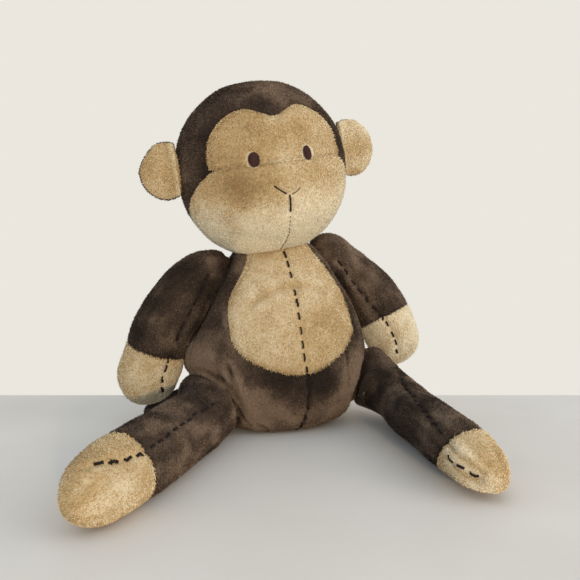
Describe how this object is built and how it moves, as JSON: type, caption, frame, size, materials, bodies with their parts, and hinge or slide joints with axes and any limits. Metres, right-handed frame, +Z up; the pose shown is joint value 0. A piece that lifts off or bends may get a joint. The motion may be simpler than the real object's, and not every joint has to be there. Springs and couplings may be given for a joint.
{
  "type": "plush monkey rattle",
  "caption": "Seated stuffed monkey in short pile with a jointed head, arms, legs and tail and a bead rattle sewn inside",
  "frame": {"origin": "on the flat of the seat, on the surface that the toy sits on", "axes": "+Z up, the monkey faces -Y, and its own left hand is on the +X side"},
  "size_m": [0.2382, 0.2419, 0.2171],
  "materials": {
    "brown_plush": "short brushed pile",
    "tan_plush": "short brushed pile",
    "filling": "polyester fibre filling",
    "embroidery": "satin stitch thread",
    "rattle_shell": "satin moulded plastic",
    "beads": "gloss plastic beads"
  },
  "bodies": {
    "torso": {"belly_panel_left": "tan_plush", "belly_panel_right": "tan_plush", "torso_front_left": "brown_plush", "torso_front_right": "brown_plush", "torso_back_cover": "brown_plush", "torso_filling": "filling", "rattle_shell_lower": "rattle_shell", "rattle_shell_upper": "rattle_shell"},
    "beads": {"rattle_bead_1": "beads", "rattle_bead_2": "beads", "rattle_bead_3": "beads", "rattle_bead_4": "beads", "rattle_bead_5": "beads", "rattle_bead_6": "beads", "rattle_bead_7": "beads"},
    "neck": {"neck_filling": "filling"},
    "head": {"crown_cover": "brown_plush", "forehead_panel": "tan_plush", "muzzle_panel": "tan_plush", "head_back_cover": "brown_plush", "head_filling": "filling", "eye_left": "embroidery", "eye_right": "embroidery"},
    "ear_left": {"ear_left_front": "tan_plush", "ear_left_back": "brown_plush"},
    "ear_right": {"ear_right_front": "tan_plush", "ear_right_back": "brown_plush"},
    "arm_left": {"arm_left_sleeve": "brown_plush", "hand_left_cover": "tan_plush", "arm_left_filling": "filling"},
    "arm_right": {"arm_right_sleeve": "brown_plush", "hand_right_cover": "tan_plush", "arm_right_filling": "filling"},
    "leg_left": {"leg_left_sleeve": "brown_plush", "foot_left_cover": "tan_plush", "leg_left_filling": "filling"},
    "leg_right": {"leg_right_sleeve": "brown_plush", "foot_right_cover": "tan_plush", "leg_right_filling": "filling"},
    "tail": {"tail": "brown_plush"}
  },
  "joints": [
    {"name": "neck_turn", "type": "hinge", "parent": "torso", "child": "neck", "pos_m": [-0.00788, 0, 0.11273], "axis": [0, 0, 1], "range_deg": [-30, 30]},
    {"name": "head_nod", "type": "hinge", "parent": "neck", "child": "head", "pos_m": [-0.00788, 0, 0.11273], "axis": [1, 0, 0], "range_deg": [-8, 10]},
    {"name": "ear_left_fold", "type": "hinge", "parent": "head", "child": "ear_left", "pos_m": [0.03636, -0.00628, 0.17793], "axis": [-0.1461, 0, 0.9893], "range_deg": [-12, 20], "stiffness_Nm_per_rad": 0.004},
    {"name": "ear_right_fold", "type": "hinge", "parent": "head", "child": "ear_right", "pos_m": [-0.06997, -0.01569, 0.16223], "axis": [0.1461, 0, -0.9893], "range_deg": [-12, 20], "stiffness_Nm_per_rad": 0.004},
    {"name": "shoulder_left", "type": "hinge", "parent": "torso", "child": "arm_left", "pos_m": [0.02116, 0.003, 0.09872], "axis": [0, -1, 0], "range_deg": [0, 40]},
    {"name": "shoulder_right", "type": "hinge", "parent": "torso", "child": "arm_right", "pos_m": [-0.0347, 0.003, 0.09481], "axis": [0, 1, 0], "range_deg": [0, 40]},
    {"name": "hip_left", "type": "hinge", "parent": "torso", "child": "leg_left", "pos_m": [0.0492, -0.008, 0.0275], "axis": [-1, 0, 0], "range_deg": [-30, 50]},
    {"name": "hip_right", "type": "hinge", "parent": "torso", "child": "leg_right", "pos_m": [-0.05255, -0.008, 0.02038], "axis": [-1, 0, 0], "range_deg": [-30, 50]},
    {"name": "tail_wag", "type": "hinge", "parent": "torso", "child": "tail", "pos_m": [0, 0.044, 0.009], "axis": [0, 0, -1], "range_deg": [0, 90]},
    {"name": "beads_jump", "type": "slide", "parent": "torso", "child": "beads", "axis": [0, 0, 1], "range_m": [0, 0.012]}
  ]
}
